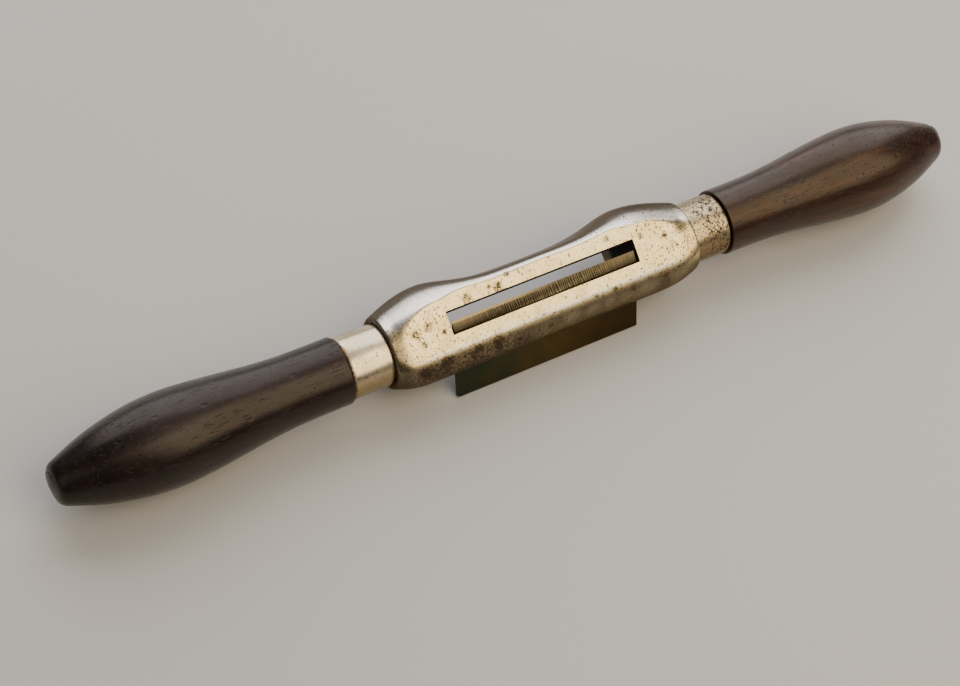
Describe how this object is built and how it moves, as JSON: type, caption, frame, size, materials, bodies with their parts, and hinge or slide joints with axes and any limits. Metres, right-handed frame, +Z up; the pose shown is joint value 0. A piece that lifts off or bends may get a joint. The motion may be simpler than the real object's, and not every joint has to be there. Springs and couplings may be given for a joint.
{
  "type": "spokeshave",
  "caption": "Two-handed wood shave with a plated flat-soled body, a thin bevelled cutter clamped on a sloping bed behind the mouth, and turned dark wooden handles in metal ferrules.",
  "frame": {"origin": "middle of the footprint, on the plane the shave lies on with its sole turned up", "axes": "+X along the tool towards the right handle, +Y from the cutter's heel towards the toe side, +Z up"},
  "size_m": [0.2574, 0.0258, 0.025],
  "materials": {
    "plated_nickel": "worn warm nickel plate with rust pitting",
    "blued_steel": "tool steel with temper colours and a ground bevel",
    "dark_iron": "plain iron rod",
    "dark_hardwood": "dark oiled hardwood, satin"
  },
  "bodies": {
    "frame": {"body": "plated_nickel", "left_handle": "dark_hardwood", "left_ferrule": "plated_nickel", "left_tang": "dark_iron", "right_handle": "dark_hardwood", "right_ferrule": "plated_nickel", "right_tang": "dark_iron"},
    "cutter": {"cutter": "blued_steel"},
    "cap": {"clamp_cap": "plated_nickel"},
    "screw": {"clamp_screw": "plated_nickel"}
  },
  "joints": [
    {"name": "cutter_slide", "type": "slide", "parent": "frame", "child": "cutter", "axis": [0, 0.374, 0.9274], "range_m": [-0.003, 0.002]},
    {"name": "cap_lift", "type": "slide", "parent": "frame", "child": "cap", "axis": [0, 0.9274, -0.374], "range_m": [0, 0.0016]},
    {"name": "screw_turn", "type": "hinge", "parent": "cap", "child": "screw", "pos_m": [0, -0.00598, 0.01363], "axis": [0, 0.9274, -0.374], "range_deg": [0, 720]}
  ],
  "couplings": [
    {"joint": "screw_turn", "follows": "cap_lift", "rad_per_m": 7854}
  ]
}
